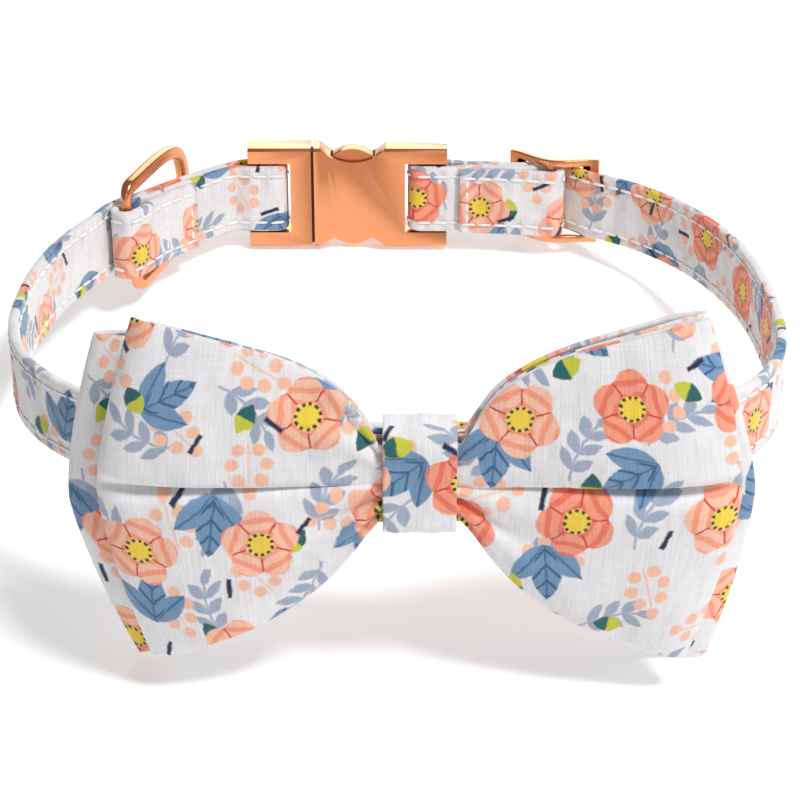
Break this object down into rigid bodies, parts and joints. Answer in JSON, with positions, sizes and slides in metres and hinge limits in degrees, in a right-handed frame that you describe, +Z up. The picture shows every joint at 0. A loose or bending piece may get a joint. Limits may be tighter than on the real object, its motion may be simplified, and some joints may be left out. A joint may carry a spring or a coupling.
{
  "type": "pet bow tie collar",
  "caption": "Buckled pet collar of fabric-covered webbing with slider and swinging leash ring, and a double bow with knot hung on the front of the neck loop.",
  "frame": {"origin": "middle of the footprint, on the surface that the collar rests on", "axes": "+Z up, -Y towards the bow, +Y towards the buckle, +X to the right as seen from the bow"},
  "size_m": [0.1436, 0.1458, 0.0698],
  "materials": {
    "strap_cotton": "printed white cotton over webbing, flower print in coral, peach and dusty blue, white edge stitching",
    "bow_cotton": "printed white plain-weave cotton, flower print in coral, peach and dusty blue",
    "rose_gold": "satin rose gold plating with bright bevelled edges",
    "elastic": "white ribbed elastic"
  },
  "bodies": {
    "root": {"strap": "strap_cotton", "buckle_female": "rose_gold", "buckle_male": "rose_gold", "slider": "rose_gold", "rear_bow": "bow_cotton", "front_bow": "bow_cotton", "knot_band": "bow_cotton", "bow_loop": "elastic"},
    "ring": {"d_ring": "rose_gold"}
  },
  "joints": [
    {"name": "d_ring_swing", "type": "hinge", "parent": "root", "child": "ring", "pos_m": [-0.05576, 0.04137, 0.01724], "axis": [-0.0556, 0.1159, 0.9917], "range_deg": [0, 154]}
  ]
}
